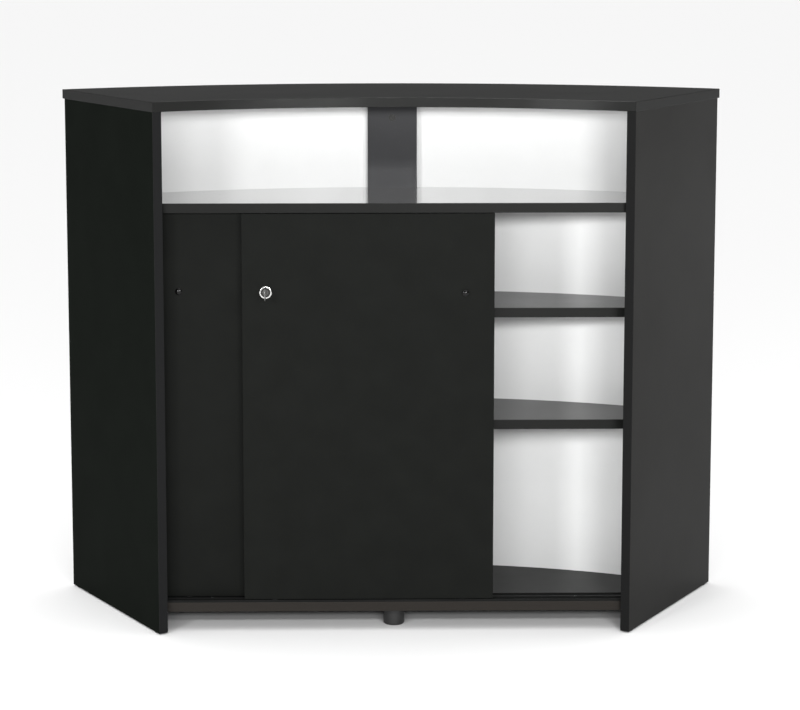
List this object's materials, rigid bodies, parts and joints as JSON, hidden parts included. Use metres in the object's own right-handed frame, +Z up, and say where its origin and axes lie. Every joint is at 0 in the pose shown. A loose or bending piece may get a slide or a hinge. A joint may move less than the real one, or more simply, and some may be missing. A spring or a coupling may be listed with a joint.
{
  "type": "curved bar counter cabinet",
  "caption": "Curved bar counter with black side panels and top, white curved facade, open niche, shelves and sliding doors with a key lock.",
  "frame": {"origin": "centre of the footprint's bounding box, on the floor", "axes": "+X to the right seen from the service side, +Y from the service side towards the customer side, +Z up"},
  "size_m": [1.3554, 0.566, 1.048],
  "materials": {
    "black_melamine": "satin textured melamine on chipboard",
    "door_melamine": "satin textured melamine on chipboard",
    "white_sheet": "white lacquered hardboard",
    "zinc_steel": "zinc plated",
    "zinc_alloy": "die-cast zinc",
    "beech": "bare beech",
    "nylon": "moulded nylon",
    "black_plastic": "extruded plastic",
    "knob_plastic": "glossy moulded plastic",
    "lock_chrome": "polished plate",
    "key_steel": "nickel plated"
  },
  "bodies": {
    "carcass": {"top_panel": "black_melamine", "left_side_panel": "black_melamine", "right_side_panel": "black_melamine", "bottom_panel": "black_melamine", "lower_shelf": "black_melamine", "middle_shelf": "black_melamine", "upper_shelf": "black_melamine", "centre_post": "black_melamine", "facade_left": "white_sheet", "facade_right": "white_sheet", "facade_backing_strip": "white_sheet", "facade_screws": "zinc_steel", "shelf_cams": "zinc_alloy", "shelf_cam_bolts": "zinc_steel", "shelf_dowels": "beech", "top_cams": "zinc_alloy", "top_cam_bolts": "zinc_steel", "post_dowels": "beech", "panel_glides": "nylon", "centre_foot": "black_plastic", "foot_stud": "zinc_steel", "bottom_track": "black_plastic", "track_screws": "zinc_steel", "front_top_channel": "black_plastic", "rear_top_channel": "black_plastic"},
    "front_door": {"front_door": "door_melamine", "front_door_roller_housings": "nylon", "front_door_axles": "zinc_steel", "front_door_top_guides": "nylon", "front_door_knob": "knob_plastic", "front_knob_screw": "zinc_steel", "lock_body": "lock_chrome", "lock_nut": "lock_chrome"},
    "rear_door": {"rear_door": "door_melamine", "rear_door_roller_housings": "nylon", "rear_door_axles": "zinc_steel", "rear_door_top_guides": "nylon", "rear_door_knob": "knob_plastic", "rear_knob_screw": "zinc_steel"},
    "front_left_wheel": {"front_left_wheel": "nylon"},
    "front_right_wheel": {"front_right_wheel": "nylon"},
    "rear_left_wheel": {"rear_left_wheel": "nylon"},
    "rear_right_wheel": {"rear_right_wheel": "nylon"},
    "lock_plug": {"lock_plug": "lock_chrome"},
    "lock_bolt": {"lock_bolt": "lock_chrome"},
    "key": {"key": "key_steel"}
  },
  "joints": [
    {"name": "front_door_slide", "type": "slide", "parent": "carcass", "child": "front_door", "axis": [1, 0, 0], "range_m": [-0.158, 0.2605]},
    {"name": "rear_door_slide", "type": "slide", "parent": "carcass", "child": "rear_door", "axis": [1, 0, 0], "range_m": [0, 0.436]},
    {"name": "front_left_wheel_spin", "type": "hinge", "parent": "front_door", "child": "front_left_wheel", "pos_m": [-0.23525, -0.235, 0.07105], "axis": [0, 1, 0], "range_deg": [-900, 1400]},
    {"name": "front_right_wheel_spin", "type": "hinge", "parent": "front_door", "child": "front_right_wheel", "pos_m": [0.13475, -0.235, 0.07105], "axis": [0, 1, 0], "range_deg": [-900, 1400]},
    {"name": "rear_left_wheel_spin", "type": "hinge", "parent": "rear_door", "child": "rear_left_wheel", "pos_m": [-0.40575, -0.211, 0.07105], "axis": [0, 1, 0], "range_deg": [-1, 2330]},
    {"name": "rear_right_wheel_spin", "type": "hinge", "parent": "rear_door", "child": "rear_right_wheel", "pos_m": [-0.03575, -0.211, 0.07105], "axis": [0, 1, 0], "range_deg": [-1, 2330]},
    {"name": "lock_turn", "type": "hinge", "parent": "front_door", "child": "lock_plug", "pos_m": [-0.2497, -0.243, 0.6767], "axis": [0, 1, 0], "range_deg": [0, 90]},
    {"name": "bolt_throw", "type": "slide", "parent": "front_door", "child": "lock_bolt", "axis": [0, 1, 0], "range_m": [0, 0.003]},
    {"name": "key_pull", "type": "slide", "parent": "lock_plug", "child": "key", "axis": [0, -1, 0], "range_m": [0, 0.03]}
  ],
  "couplings": [
    {"joint": "front_left_wheel_spin", "follows": "front_door_slide", "rad_per_m": 90.909},
    {"joint": "front_right_wheel_spin", "follows": "front_door_slide", "rad_per_m": 90.909},
    {"joint": "rear_left_wheel_spin", "follows": "rear_door_slide", "rad_per_m": 90.909},
    {"joint": "rear_right_wheel_spin", "follows": "rear_door_slide", "rad_per_m": 90.909},
    {"joint": "bolt_throw", "follows": "lock_turn", "m_per_rad": 0.0019098}
  ]
}
